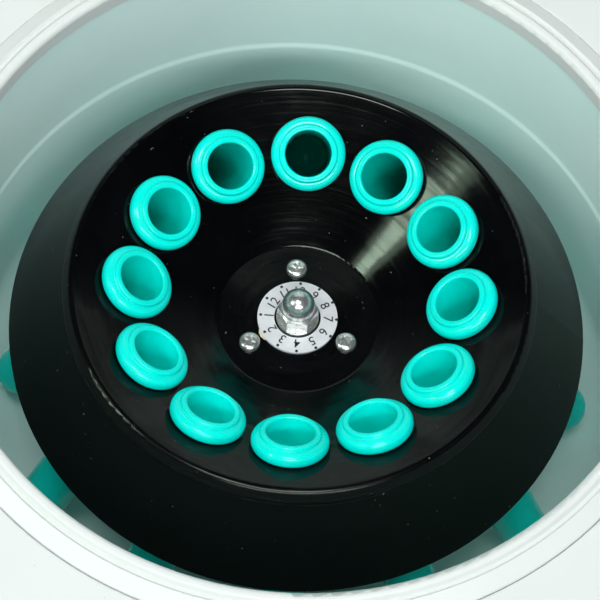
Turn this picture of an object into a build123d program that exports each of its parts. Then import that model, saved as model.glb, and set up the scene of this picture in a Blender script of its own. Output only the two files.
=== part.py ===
from build123d import *
import os
from math import atan2, copysign, cos, pi, radians, sin, sqrt, tan

# Benchtop centrifuge with an angle rotor for twelve 15 ml tubes, lid open.
# Millimetres, +Z up, front towards -Y. The origin is where the rotor's axis meets the bench.

# Cutting tools: how far one runs past a face, and a length that passes right through
spare = 1.0
through = 200.0
wall_cut = 30.0

# Housing
housing_width = 336.0
housing_back_y = 190.0
housing_front_y = -240.0
housing_corner_r = 56.0
housing_wall = 3.0
housing_draft = 1.5
cover_top_z = 221.7
cover_edge_r = 15.0
split_z = 75.0
nose_z = 118.0
panel_top_y = -166.0
base_edge_r = 6.0
foot_height = 14.0
foot_r = 15.0
foot_inset_x = 34.0
foot_inset_y = 44.0
foot_taper = 2.0
foot_round = 1.5
face_gap = 0.3
screw_clearance = 0.2
screw_fit = 0.05

# Bowl and its white rim
mouth_r = 127.2
rim_band_r = 140.0
rim_rise = 4.3
rim_groove_r = 132.6
rim_groove_depth = 1.3
collar_wall = 4.0
collar_depth = 16.0
rim_seat_depth = 2.2
rim_skirt_depth = 1.5
rim_mouth_round = 2.2
rim_lip_width = 1.8
rim_lip_round = 1.2
rim_groove_half = 0.6
rim_groove_flare = 0.8
rim_band_round = 0.9
rim_joint_gap = 0.05
rim_land_rise = 0.2
liner_lap = 0.4
liner_flange_gap = 0.2
liner_wall = 2.0
liner_draft_in = 1.0
liner_step_z = 165.0
liner_step_in = 0.6
liner_step_half = 1.2
liner_step_round = 6.0
liner_neck_round = 3.0
liner_floor_z = 95.0
liner_floor_corner_r = 18.0
liner_hole_r = 20.0
liner_neck_height = 6.0
guard_inner_r = 132.0
guard_wall = 3.0
guard_bottom_z = 85.0

# Rotor
dish_floor_z = 174.1
dish_thickness = 2.5
hub_recess_r = 30.2
dish_apex_r = 82.4
dish_lip_r = 85.4
dish_lip_drop = 5.6
dish_crest_round = 2.2
dish_lip_height = 1.6
dish_lip_round = 1.2
dish_floor_round = 1.5
dish_hole_clearance = 0.3
skirt_edge_r = 106.7
skirt_edge_z = 170.5
skirt_wall = 1.8
skirt_flange = 5.0
skirt_gap = 0.05
skirt_edge_round = 0.5
skirt_top_round = 1.0
hub_flange_r = 27.0
hub_flange_height = 13.0
hub_neck_r = 15.0
hub_bottom_z = 132.0
hub_round = 1.5
support_ring_r = 95.0
support_ring_thickness = 2.0
support_ring_fit = 0.1

# Tube sleeves
sleeve_count = 12
first_sleeve_azimuth = 180.0
sleeve_tilt = 30.4
sleeve_ring_r = 60.4
sleeve_seat_sink = 0.35
sleeve_bore_r = 8.6
sleeve_wall = 0.9
sleeve_length = 98.5
sleeve_flange_r = 13.9
sleeve_flange_height = 5.8
sleeve_flange_round = 2.6
sleeve_collar_r = 10.9
sleeve_collar_height = 1.5
sleeve_collar_fillet = 0.3
sleeve_lip_round = 0.8
sleeve_hole_clearance = 0.3
sleeve_seat_clearance = 0.4

# Hub fastenings
plate_r = 14.8
plate_hole_r = 8.6
plate_thickness = 0.9
washer_r = 7.9
washer_thickness = 1.6
nut_across_flats = 13.0
nut_hex_height = 6.5
nut_height = 15.0
nut_dome_r = 6.1
nut_blind_room = 1.0
nut_chamfer = 0.8
nut_chamfer_in = 0.2
thread_r = 4.0
thread_engagement = 10.0
thread_clearance = 0.02
hub_screw_circle_r = 20.4
hub_screw_count = 3
hub_screw_azimuth = 94.0
screw_head_r = 3.9
screw_head_height = 2.3
screw_head_round = 1.5
screw_tip = 1.5
screw_r = 2.0

# Motor
shaft_r = 6.0
shaft_foot_rise = 2.0
shaft_shoulder = 1.0
shaft_nose_r = 5.0
shaft_fit = 0.03
shaft_chamfer = 0.8
thread_relief = 0.1
motor_plate_z = 82.0
motor_plate_thickness = 4.0
motor_plate_r = 90.0
motor_r = 46.0
motor_wall = 2.0
motor_bottom_z = 24.0
motor_flange = 6.0
motor_flange_thickness = 3.0
end_cap_height = 6.0
cap_boss_wall = 4.0
cap_boss_rise = 3.0
stator_inner_r = 28.0
stator_bottom_z = 40.0
stator_height = 34.0
stator_fit = 0.1
stator_slot_count = 12
stator_slot_r = 3.2
stator_slot_inset = 6.0
armature_air_gap = 0.8
armature_slot_count = 14
armature_slot_r = 1.2
bearing_r = 13.0
bearing_width = 6.0
bearing_running_gap = 0.05
bearing_inset = 1.0
damper_circle_r = 76.0
damper_r = 11.0
damper_height = 22.0
damper_count = 3
damper_azimuth = 90.0
damper_waist = 0.78
damper_stud_proud = 2.0
damper_post_r = 9.0
guard_pillar_r = 7.0
guard_pillar_count = 4
guard_pillar_azimuth = 45.0
seal_lip_gap = 0.8
seal_wall = 1.6
seal_fit = 0.2
seal_rim = 3.6
seal_foot = 3.0

# Lid
hinge_reach = 16.0
hinge_height = 14.0
lid_open_angle = 102.0
lid_overhang = 10.0
lid_skirt_gap = 1.5
lid_side_height = 20.0
lid_crown = 12.0
lid_wall = 3.0
lid_edge_r = 11.0
lid_shoulder_in = 18.0
lid_shoulder_drop = 6.0
lid_shoulder_rise = 3.0
lid_crown_fullness = 0.78
lid_window_r = 40.0
lid_window_lap = 4.0
lid_window_thickness = 3.0
lid_window_seat = 6.0
lid_well_wall = 3.0
lid_well_depth = 8.0
lid_liner_window_gap = 6.0
lid_liner_outer_gap = 0.3
lid_liner_seat_in = 1.0
gasket_outwards = 0.1
gasket_half_width = 3.2
gasket_height = 4.5
gasket_gap = 0.3
gasket_edge_r = 0.3
lid_liner_inner_r = 118.0
lid_liner_rise = 11.0
lid_liner_wall = 2.0
lid_liner_round = 6.0
lid_liner_seat_round = 1.0
hinge_pin_r = 4.0
hinge_running_gap = 0.05
hinge_lug_x = 44.0
hinge_lug_width = 16.0
hinge_lug_r = 9.0
hinge_arm_root = 12.0
hinge_arm_rise = 3.0
bracket_width = 12.0
bracket_gap = 0.5
bracket_length = 30.0
bracket_foot_thickness = 4.0
bracket_foot_side = 7.0
hinge_pin_overhang = 2.0
grip_width = 70.0
grip_reach = 23.0
grip_height = 9.0
grip_corner_r = 9.0
grip_edge_r = 3.0

# Lid lock
hook_reach = 3.0
hook_width = 18.0
hook_thickness = 4.0
hook_foot_width = 38.0
hook_foot_depth = 8.0
hook_foot_thickness = 3.0
hook_tip_z = 179.0
hook_tip_round = 4.0
hook_window = 9.0
hook_window_z = 188.0
hook_slot_front = 5.5
hook_slot_back = 3.0
hook_slot_side = 3.0
lock_width = 40.0
lock_depth = 14.0
lock_height = 18.0
lock_gap = 6.5
lock_pad = 4.0
lock_pad_width = 5.0
lock_pad_side = 12.0
lock_plate_thickness = 3.0
lock_plate_side = 10.0
bolt_width = 7.0
bolt_height = 6.0
bolt_travel = 12.0
bolt_clearance = 0.3
bolt_rest_proud = 1.5
bolt_hold = 5.0
bolt_nose_r = 1.5

# Control panel
panel_width = 216.0
panel_height = 80.0
panel_thickness = 3.0
panel_centre_v = -8.0
panel_corner_r = 6.0
panel_edge_r = 1.0
panel_cutout_width = 200.0
panel_cutout_height = 66.0
panel_cutout_v = -11.0
display_width = 84.0
display_height = 26.0
display_v = 8.0
display_thickness = 2.0
display_lip = 2.0
display_fit = 0.2
module_margin = 4.0
module_gap = 1.0
knob_x = 70.0
knob_v = -8.0
knob_r = 13.0
knob_height = 15.0
knob_skirt_r = 15.0
knob_skirt_height = 2.5
knob_flute_r = 1.6
knob_flute_out = 0.56
knob_flute_count = 16
knob_shaft_r = 3.0
knob_lift = 0.6
knob_edge_r = 1.5
button_pitch = 27.0
button_v = -32.0
button_width = 19.0
button_depth = 10.0
button_corner_r = 4.0
button_proud = 2.4
button_travel = 1.5
button_flange = 1.2
button_flange_thickness = 1.2
button_stem_r = 2.5
button_edge_r = 1.0
board_depth = 16.0
board_thickness = 1.6
board_width = 190.0
board_height = 56.0
board_hole_clearance = 1.0
standoff_r = 3.0
standoff_inset = 6.0
encoder_size = 14.0
encoder_height = 9.0
switch_size = 8.0
switch_height = 6.0

# Mains inlet, switch and vent at the back
inlet_inset = 73.0
inlet_z = 46.0
inlet_width = 48.0
inlet_height = 28.0
inlet_flange = 3.0
inlet_body_depth = 24.0
inlet_body_clearance = 0.5
inlet_recess_width = 27.0
inlet_recess_height = 19.0
inlet_recess_depth = 16.0
inlet_pin_length = 12.0
inlet_pin_width = 2.0
inlet_pin_height = 4.0
inlet_pin_places = ((-7.0, -2.0), (7.0, -2.0), (0.0, 3.0))
wall_seat_gap = 0.2
rocker_pitch = 50.0
rocker_width = 13.0
rocker_height = 20.0
rocker_depth = 8.0
rocker_tilt = 9.0
rocker_bezel = 3.0
rocker_flange = 2.0
rocker_body_depth = 18.0
rocker_hollow_depth = 12.0
rocker_end_room = 1.5
vent_width = 110.0
vent_height = 52.0
vent_z = 135.0
vent_slat_count = 7
vent_slat_thickness = 1.2
vent_slat_angle = 28.0
vent_frame = 5.0
vent_thickness = 4.0
vent_slat_depth = 3.2
floor_slot_count = 7
floor_slot_length = 60.0
floor_slot_width = 4.0
floor_slot_pitch = 12.0
floor_slot_x = 100.0

# Screws that hold the cover down
cover_screw_inset_x = 13.0
cover_screw_inset_front = 100.0
cover_screw_inset_back = 85.0
cover_boss_r = 7.0
cover_boss_height = 24.0
boss_web = 5.0
cover_screw_grip = 18.0

# Worked out from the values above
cover_screw_x = housing_width/2 - cover_screw_inset_x
cover_screw_ys = (housing_front_y + cover_screw_inset_front, housing_back_y - cover_screw_inset_back)
inlet_x = housing_width/2 - inlet_inset
rocker_x = inlet_x - rocker_pitch
lid_r = rim_band_r + lid_overhang
hinge_y = lid_r + hinge_reach
hook_y = -(lid_r + hook_reach)
gasket_r = (rim_groove_r + rim_band_r)/2 + gasket_outwards
slope = atan2(cover_top_z - nose_z, panel_top_y - housing_front_y)
tilt = radians(sleeve_tilt)
sleeve_outer_r = sleeve_bore_r + sleeve_wall
sleeve_hole_r = sleeve_outer_r + sleeve_hole_clearance
dish_underside_z = dish_floor_z - dish_thickness
hub_flange_bottom_z = dish_underside_z - hub_flange_height
sleeve_seat_z = dish_floor_z + (sleeve_ring_r - hub_recess_r)*tan(tilt) - sleeve_seat_sink/cos(tilt)
rim_top_z = cover_top_z + rim_rise
liner_flange_z = cover_top_z - rim_seat_depth - rim_skirt_depth
liner_outer_r = mouth_r + liner_lap + liner_wall
cover_opening_r = rim_groove_r + face_gap
hinge_z = cover_top_z + hinge_height
nut_bottom_z = dish_floor_z + washer_thickness
shaft_top_z = nut_bottom_z + thread_engagement
damper_bottom_z = motor_plate_z - damper_height
lid_bottom_z = cover_top_z + lid_skirt_gap
lid_side_top_z = lid_bottom_z + lid_side_height
rim_land_z = rim_top_z - rim_groove_depth + rim_land_rise
gasket_bottom_z = rim_land_z + gasket_gap
lid_liner_z = gasket_bottom_z + gasket_height
panel_middle = (0, (panel_top_y + housing_front_y)/2, (cover_top_z + nose_z)/2)
panel_plane = Plane(origin=panel_middle, x_dir=(1, 0, 0), z_dir=(0, -sin(slope), cos(slope)))
hinge_axis = Axis((0, hinge_y, hinge_z), (-1, 0, 0))


def outline(points, rounded=()):
    """A closed face in the XZ plane, with (corner, radius) roundings."""
    face = make_face(Polyline(*[(r, 0, z) for r, z in points], close=True))
    for (r, z), radius in rounded:
        corner = face.vertices().sort_by_distance((r, 0, z))[0]
        face = fillet(corner, radius)
    return face


def turned(points, rounded=()):
    """A body of revolution about the rotor's axis."""
    return revolve(outline(points, rounded), Axis.Z)


def ring(outer_r, inner_r, bottom_z, height):
    """A plain ring or, with no inner radius, a disc."""
    body = Pos(0, 0, bottom_z + height/2)*Cylinder(outer_r, height)
    if inner_r:
        body -= Pos(0, 0, bottom_z + height/2)*Cylinder(inner_r, height*1.5)
    return body


def upright(x, y, radius, bottom_z, top_z):
    """A vertical round post, or the tool for a hole."""
    return Pos(x, y, (bottom_z + top_z)/2)*Cylinder(radius, top_z - bottom_z)


def around(count, radius, start=0.0):
    """Places evenly spaced on a circle."""
    angles = [radians(start + 360.0*k/count) for k in range(count)]
    return [(radius*cos(a), radius*sin(a)) for a in angles]


def sleeve_plane(index):
    """The plane on which a sleeve's flange is seated, with its axis along the sleeve."""
    a = radians(first_sleeve_azimuth + 360.0*index/sleeve_count)
    seat = (sleeve_ring_r*cos(a), sleeve_ring_r*sin(a), sleeve_seat_z)
    axis = (-sin(tilt)*cos(a), -sin(tilt)*sin(a), cos(tilt))
    return Plane(origin=seat, x_dir=(-sin(a), cos(a), 0), z_dir=axis)


def one_of(shapes):
    """Several loose solids as one group."""
    return Compound(children=[s for shape in shapes for s in shape.solids()])


def unique(edges):
    """The same edges with each one only once."""
    kept = []
    for edge in edges:
        if not any(edge.is_same(other) for other in kept):
            kept.append(edge)
    return kept


# Housing

def housing_plan(inset, z):
    """The rounded rectangle that the housing stands on, drawn in by an inset."""
    depth = housing_back_y - housing_front_y - 2*inset
    middle_y = (housing_back_y + housing_front_y)/2
    plan = RectangleRounded(housing_width - 2*inset, depth, housing_corner_r - inset)
    return Pos(0, middle_y, z)*plan


def cover_form(inset, bottom_z):
    """The cover's form: a tapered block with a sloping front for the controls."""
    top_z = cover_top_z - inset
    block = extrude(housing_plan(inset, bottom_z), top_z - bottom_z, taper=housing_draft)
    slope_top_y = panel_top_y + inset*tan(slope/2)
    slope_foot_z = nose_z - inset*tan(pi/4 - slope/2)
    side = [
        (housing_back_y + wall_cut, bottom_z - spare),
        (housing_back_y + wall_cut, top_z + spare),
        (slope_top_y + spare/tan(slope), top_z + spare),
        (housing_front_y + inset - wall_cut, slope_foot_z - wall_cut*tan(slope)),
        (housing_front_y + inset - wall_cut, bottom_z - spare),
    ]
    face = make_face(Polyline(*[(-housing_width, y, z) for y, z in side], close=True))
    body = block & extrude(face, 2*housing_width, dir=(1, 0, 0))
    top = body.faces().sort_by(Axis.Z)[-1]
    front = panel_plane.z_dir
    sloped = [f for f in body.faces() if f.geom_type == GeomType.PLANE and f.normal_at().dot(front) > 0.999]
    return fillet(unique(list(top.edges()) + list(sloped[0].edges())), cover_edge_r - inset)


def screw_boss(x, y, bottom_z, top_z):
    """A post for a cover screw, with a web out to the side wall."""
    reach = housing_width/2 - abs(x)
    web = Box(reach, boss_web, top_z - bottom_z)
    web = Pos(copysign(abs(x) + reach/2, x), y, (bottom_z + top_z)/2)*web
    return upright(x, y, cover_boss_r, bottom_z, top_z) + web


def rim_seat_form():
    """The recess that the rim ring drops into, with the rounding of the cover's edge round it."""
    seat_r = rim_band_r + rim_joint_gap
    seat_z = cover_top_z - rim_seat_depth
    points = [
        (0, seat_z),
        (seat_r, seat_z),
        (seat_r, cover_top_z),
        (seat_r + 2*rim_band_round, cover_top_z),
        (seat_r + 2*rim_band_round, cover_top_z + spare),
        (0, cover_top_z + spare),
    ]
    return turned(points, [((seat_r, cover_top_z), rim_band_round)])


def make_top_cover():
    shell = cover_form(0, split_z) - cover_form(housing_wall, split_z - spare)
    collar_outer_r = rim_band_r + collar_wall
    collar_z = cover_top_z - collar_depth
    shell += ring(collar_outer_r, liner_outer_r + face_gap, collar_z, collar_depth - housing_wall/2)
    shell -= ring(cover_opening_r, 0, liner_flange_z - liner_wall, collar_depth)
    shell -= rim_seat_form()
    slot_y = hook_y + (hook_slot_back - hook_slot_front)/2
    slot_depth = hook_thickness + hook_slot_front + hook_slot_back
    shell -= Pos(0, slot_y, cover_top_z)*Box(hook_width + 2*hook_slot_side, slot_depth, 4*housing_wall)
    pad_top_z = cover_top_z - housing_wall/2
    pad_height = lock_pad + housing_wall/2
    pad_z = pad_top_z - pad_height/2
    pad = Box(lock_width + 2*lock_pad_side, lock_pad_width, pad_height)
    shell += Pos(0, lock_front_y() - lock_plate_thickness/2, pad_z)*pad
    window = Pos(0, panel_cutout_v, 0)*Box(panel_cutout_width, panel_cutout_height, wall_cut)
    shell -= panel_plane*window
    vent = Box(vent_width - 2*vent_frame, wall_cut, vent_height - 2*vent_frame)
    shell -= Pos(0, housing_back_y, vent_z)*vent
    within = cover_form(housing_wall/2, split_z - spare)
    for x in (-cover_screw_x, cover_screw_x):
        for y in cover_screw_ys:
            shell += screw_boss(x, y, split_z, split_z + cover_boss_height) & within
            shell -= upright(x, y, screw_r, split_z - spare, split_z + cover_screw_grip)
    return shell


def make_rim_ring():
    seat_z = cover_top_z - rim_seat_depth
    land_z = cover_top_z + face_gap
    band_r = rim_band_r - rim_joint_gap
    groove_z = rim_top_z - rim_groove_depth
    inner_z = liner_flange_z
    points = [
        (mouth_r, inner_z),
        (mouth_r, rim_top_z),
        (rim_groove_r - rim_lip_width, rim_top_z),
        (rim_groove_r - rim_groove_half, groove_z - rim_groove_half),
        (rim_groove_r + rim_groove_half, groove_z - rim_groove_half),
        (rim_groove_r + rim_groove_half + rim_groove_flare, rim_land_z),
        (band_r, land_z + rim_land_rise),
        (band_r, seat_z),
        (rim_groove_r, seat_z),
        (rim_groove_r, inner_z),
    ]
    rounded = [
        ((mouth_r, rim_top_z), rim_mouth_round),
        ((rim_groove_r - rim_lip_width, rim_top_z), rim_lip_round),
        ((band_r, land_z + rim_land_rise), rim_band_round),
    ]
    return turned(points, rounded)


def make_bowl_liner():
    """The drawn bowl: a wall with a small step, a round corner, a floor and a short neck."""
    top_z = liner_flange_z
    upper_r = mouth_r + liner_lap
    step_r = upper_r - liner_draft_in
    lower_r = step_r - liner_step_in
    foot_r_in = lower_r - liner_draft_in
    floor_z = liner_floor_z
    neck_z = floor_z + liner_neck_height
    w = liner_wall
    points = [
        (upper_r, top_z),
        (step_r, liner_step_z + liner_step_half),
        (lower_r, liner_step_z - liner_step_half),
        (foot_r_in, floor_z),
        (liner_hole_r + w, floor_z),
        (liner_hole_r + w, neck_z),
        (liner_hole_r, neck_z),
        (liner_hole_r, floor_z - w),
        (foot_r_in + w, floor_z - w),
        (lower_r + w, liner_step_z - liner_step_half - w/2),
        (step_r + w, liner_step_z + liner_step_half - w/2),
        (upper_r + w, top_z - w),
        (rim_groove_r - liner_flange_gap, top_z - w),
        (rim_groove_r - liner_flange_gap, top_z),
    ]
    rounded = [
        ((foot_r_in, floor_z), liner_floor_corner_r),
        ((foot_r_in + w, floor_z - w), liner_floor_corner_r + w),
        ((liner_hole_r + w, floor_z), liner_neck_round),
        ((step_r, liner_step_z + liner_step_half), liner_step_round),
        ((lower_r, liner_step_z - liner_step_half), liner_step_round),
    ]
    return turned(points, rounded)


def make_guard_ring():
    top_z = cover_top_z - collar_depth - face_gap
    return ring(guard_inner_r + guard_wall, guard_inner_r, guard_bottom_z, top_z - guard_bottom_z)


def base_form(inset, floor_z):
    """The base's form, narrowing downwards from the joint with the cover."""
    plan = housing_plan(inset, split_z)
    body = extrude(plan, -(split_z - floor_z), taper=housing_draft)
    edges = body.faces().sort_by(Axis.Z)[0].edges()
    return fillet(edges, base_edge_r - inset)


def make_base_tray():
    floor_top = foot_height + housing_wall
    hollow = base_form(housing_wall, floor_top) + extrude(housing_plan(housing_wall, split_z), spare)
    tray = base_form(0, foot_height) - hollow
    for x, y in around(damper_count, damper_circle_r, damper_azimuth):
        tray += upright(x, y, damper_post_r, floor_top - spare, damper_bottom_z)
    for x, y in around(guard_pillar_count, guard_inner_r + guard_wall/2, guard_pillar_azimuth):
        tray += upright(x, y, guard_pillar_r, floor_top - spare, guard_bottom_z)
    within = base_form(housing_wall/2, floor_top - spare)
    for x in (-cover_screw_x, cover_screw_x):
        for y in cover_screw_ys:
            tray += screw_boss(x, y, floor_top - spare, split_z) & within
            tray -= upright(x, y, screw_r + screw_clearance, foot_height - spare, split_z + spare)
            recess_top_z = floor_top + screw_head_height
            tray -= upright(x, y, screw_head_r + face_gap, foot_height - spare, recess_top_z)
    for k in range(floor_slot_count):
        y = (k - (floor_slot_count - 1)/2)*floor_slot_pitch
        slot = SlotOverall(floor_slot_length, floor_slot_width)
        for x in (-floor_slot_x, floor_slot_x):
            tray -= Pos(x, y, foot_height - spare)*extrude(slot, housing_wall + 2*spare)
    back = housing_back_y
    inlet_hole = Box(inlet_width - 2*inlet_flange, wall_cut, inlet_height - 2*inlet_flange)
    tray -= Pos(inlet_x, back, inlet_z)*inlet_hole
    bezel_w = rocker_width + 2*rocker_bezel
    bezel_h = rocker_height + 2*rocker_bezel
    tray -= Pos(rocker_x, back, inlet_z)*Box(bezel_w - rocker_flange, wall_cut, bezel_h - rocker_flange)
    return tray


def foot_places():
    x = housing_width/2 - foot_inset_x
    front = housing_front_y + foot_inset_y
    back = housing_back_y - foot_inset_y
    return [(-x, front), (x, front), (-x, back), (x, back)]


def make_rubber_feet():
    profile = outline(
        [(0, 0), (foot_r - foot_taper, 0), (foot_r, foot_height), (0, foot_height)],
        [((foot_r - foot_taper, 0), foot_round)])
    foot = revolve(profile, Axis.Z)
    return one_of([Pos(x, y, 0)*foot for x, y in foot_places()])


def make_cover_screws():
    head_z = foot_height + housing_wall + screw_head_height
    screws = []
    for x in (-cover_screw_x, cover_screw_x):
        for y in cover_screw_ys:
            shank = upright(x, y, screw_r - screw_fit, head_z, split_z + cover_screw_grip - spare)
            head = upright(x, y, screw_head_r, head_z - screw_head_height, head_z)
            screws.append(shank + head)
    return one_of(screws)


def back_wall_y(z):
    """Where the drafted back wall's outer face lies at a height."""
    return housing_back_y - abs(z - split_z)*tan(radians(housing_draft))


def make_rear_vent():
    y = back_wall_y(vent_z)
    frame = Box(vent_width, vent_thickness, vent_height)
    hole_w = vent_width - 2*vent_frame
    hole_h = vent_height - 2*vent_frame
    frame -= Box(hole_w, 2*vent_thickness, hole_h)
    pitch = hole_h/(vent_slat_count + 1)
    for k in range(vent_slat_count):
        z = -hole_h/2 + pitch*(k + 1)
        slat = Box(hole_w + spare, vent_slat_depth, vent_slat_thickness)
        frame += Pos(0, 0, z)*Rot(vent_slat_angle, 0, 0)*slat
    lean = Rot(housing_draft, 0, 0)
    return Pos(0, y + vent_thickness/2 + wall_seat_gap, vent_z)*lean*frame


def make_power_inlet():
    """A flanged mains inlet with three flat pins in its recess."""
    y = back_wall_y(inlet_z)
    flange = Pos(0, inlet_flange/2, 0)*Box(inlet_width, inlet_flange, inlet_height)
    body_w = inlet_width - 2*(inlet_flange + inlet_body_clearance)
    body_h = inlet_height - 2*(inlet_flange + inlet_body_clearance)
    body = Pos(0, -inlet_body_depth/2, 0)*Box(body_w, inlet_body_depth, body_h)
    inlet = flange + body
    recess = Pos(0, inlet_flange - inlet_recess_depth/2, 0)*Box(
        inlet_recess_width, inlet_recess_depth, inlet_recess_height)
    inlet -= recess
    bottom_y = inlet_flange - inlet_recess_depth
    for x, z in inlet_pin_places:
        pin = Box(inlet_pin_width, inlet_pin_length + 2*spare, inlet_pin_height)
        pin = Pos(x, bottom_y + inlet_pin_length/2 - spare, z)*pin
        inlet += pin
    return Pos(inlet_x, y + wall_seat_gap, inlet_z)*Rot(-housing_draft, 0, 0)*inlet


# Motor and its suspension

def make_motor_plate():
    plate = ring(motor_plate_r, bearing_r + shaft_fit, motor_plate_z, motor_plate_thickness)
    for x, y in around(damper_count, damper_circle_r, damper_azimuth):
        plate -= Pos(x, y, motor_plate_z)*Cylinder(screw_r + screw_clearance, 4*motor_plate_thickness)
    return plate


def make_damper_mounts():
    """Rubber mounts with a waist, each with the stud that holds the motor plate."""
    waist = damper_r*damper_waist
    top = damper_height
    face = make_face(
        Polyline((damper_r, 0, top), (0, 0, top), (0, 0, 0), (damper_r, 0, 0))
        + ThreePointArc((damper_r, 0, 0), (waist, 0, top/2), (damper_r, 0, top)))
    mount = revolve(face, Axis.Z)
    stud = Cylinder(screw_r, motor_plate_thickness + 2*damper_stud_proud)
    mount += Pos(0, 0, top + motor_plate_thickness/2)*stud
    places = around(damper_count, damper_circle_r, damper_azimuth)
    return one_of([Pos(x, y, damper_bottom_z)*mount for x, y in places])


def make_motor_can():
    bottom = motor_bottom_z + end_cap_height
    height = motor_plate_z - bottom
    can = ring(motor_r, motor_r - motor_wall, bottom, height)
    flange_z = motor_plate_z - motor_flange_thickness
    return can + ring(motor_r + motor_flange, motor_r - motor_wall, flange_z, motor_flange_thickness)


def make_motor_end_cap():
    cap = ring(motor_r, bearing_r + shaft_fit, motor_bottom_z, end_cap_height)
    boss_r = bearing_r + cap_boss_wall
    return cap + ring(boss_r, bearing_r + shaft_fit, motor_bottom_z, end_cap_height + cap_boss_rise)


def make_stator_core():
    core = ring(motor_r - motor_wall - stator_fit, stator_inner_r, stator_bottom_z, stator_height)
    for x, y in around(stator_slot_count, stator_inner_r + stator_slot_inset):
        core -= Pos(x, y, stator_bottom_z + stator_height/2)*Cylinder(stator_slot_r, 2*stator_height)
    return core


def make_motor_bearings():
    bore = shaft_r + bearing_running_gap
    lower = ring(bearing_r, bore, motor_bottom_z + bearing_inset, bearing_width)
    upper = ring(bearing_r, bore, motor_plate_z + motor_plate_thickness - bearing_width, bearing_width)
    return one_of([lower, upper])


def make_shaft_seal():
    """A rubber boot from the bowl's neck to the motor plate, with a lip close to the shaft."""
    top = liner_floor_z + liner_neck_height
    outer = liner_hole_r - seal_fit
    inner = shaft_r + seal_lip_gap
    foot = motor_plate_z + motor_plate_thickness
    w = seal_wall
    points = [
        (inner, top - 2*w),
        (inner, top - w),
        (outer + seal_rim, top + w),
        (outer + seal_rim, top),
        (outer, top),
        (outer, foot + w),
        (outer + seal_foot, foot + w),
        (outer + seal_foot, foot),
        (outer - w, foot),
        (outer - w, top - 2*w),
    ]
    return turned(points)


# Rotor

def make_motor_shaft():
    bottom = motor_bottom_z + shaft_foot_rise
    points = [
        (0, bottom),
        (shaft_r, bottom),
        (shaft_r, hub_bottom_z),
        (shaft_nose_r, hub_bottom_z),
        (shaft_nose_r, dish_underside_z - shaft_shoulder),
        (thread_r - thread_relief, dish_underside_z),
        (thread_r - thread_relief, shaft_top_z - shaft_chamfer),
        (thread_r - thread_relief - shaft_chamfer, shaft_top_z),
        (0, shaft_top_z),
    ]
    return turned(points)


def make_motor_armature():
    radius = stator_inner_r - armature_air_gap
    core = ring(radius, shaft_r + shaft_fit, stator_bottom_z, stator_height)
    for x, y in around(armature_slot_count, radius):
        core -= Pos(x, y, stator_bottom_z + stator_height/2)*Cylinder(armature_slot_r, 2*stator_height)
    return core


def hub_screw_places():
    return around(hub_screw_count, hub_screw_circle_r, hub_screw_azimuth)


def make_rotor_hub():
    points = [
        (shaft_nose_r + shaft_fit, hub_bottom_z),
        (hub_neck_r, hub_bottom_z),
        (hub_neck_r, hub_flange_bottom_z),
        (hub_flange_r, hub_flange_bottom_z),
        (hub_flange_r, dish_underside_z),
        (shaft_nose_r + shaft_fit, dish_underside_z),
    ]
    rounded = [((hub_neck_r, hub_bottom_z), hub_round)]
    hub = turned(points, rounded)
    for x, y in hub_screw_places():
        hub -= upright(x, y, screw_r + screw_fit, hub_flange_bottom_z - spare, dish_underside_z + spare)
    return hub


def dish_height(radius):
    """Height of the dish's cone above the bench."""
    return dish_floor_z + (radius - hub_recess_r)*tan(tilt)


def make_rotor_dish():
    """The spun dish: flat floor, cone, rolled rim, and a spot-faced seat for each sleeve."""
    t = dish_thickness
    drop = t/cos(tilt)
    apex_z = dish_height(dish_apex_r)
    lip_z = apex_z - dish_lip_drop
    under_corner_r = hub_recess_r + t*tan(tilt/2)
    under_rim_r = hub_recess_r + (lip_z + drop - dish_floor_z)/tan(tilt)
    points = [
        (thread_r + dish_hole_clearance, dish_floor_z),
        (hub_recess_r, dish_floor_z),
        (dish_apex_r, apex_z),
        (dish_lip_r, lip_z + dish_lip_height),
        (dish_lip_r, lip_z),
        (under_rim_r, lip_z),
        (under_corner_r, dish_underside_z),
        (thread_r + dish_hole_clearance, dish_underside_z),
    ]
    rounded = [
        ((dish_apex_r, apex_z), dish_crest_round),
        ((hub_recess_r, dish_floor_z), dish_floor_round),
        ((dish_lip_r, lip_z + dish_lip_height), dish_lip_round),
    ]
    dish = turned(points, rounded)
    for x, y in hub_screw_places():
        dish -= upright(x, y, screw_r + screw_fit, dish_underside_z - spare, dish_floor_z + spare)
    for k in range(sleeve_count):
        dish -= sleeve_plane(k)*Cylinder(sleeve_hole_r, 4*sleeve_flange_height)
        seat = Cylinder(sleeve_flange_r + sleeve_seat_clearance, 2*sleeve_flange_height)
        seat = Pos(0, 0, sleeve_flange_height)*seat
        dish -= sleeve_plane(k)*seat
    return dish


def make_rotor_skirt():
    """The outer cone, with a flange flat under the dish's rim and a free lower edge."""
    top_z = dish_height(dish_apex_r) - dish_lip_drop - skirt_gap
    top_r = dish_lip_r - 4*skirt_gap
    angle = atan2(top_z - skirt_edge_z, skirt_edge_r - top_r)
    inner_edge_r = skirt_edge_r - skirt_wall/sin(angle)
    under_z = top_z - skirt_wall
    points = [
        (dish_lip_r - skirt_flange, top_z),
        (top_r, top_z),
        (skirt_edge_r, skirt_edge_z),
        (inner_edge_r, skirt_edge_z),
        (inner_edge_r - (under_z - skirt_edge_z)/tan(angle), under_z),
        (dish_lip_r - skirt_flange, under_z),
    ]
    rounded = [((skirt_edge_r, skirt_edge_z), skirt_edge_round), ((top_r, top_z), skirt_top_round)]
    return turned(points, rounded)


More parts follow.
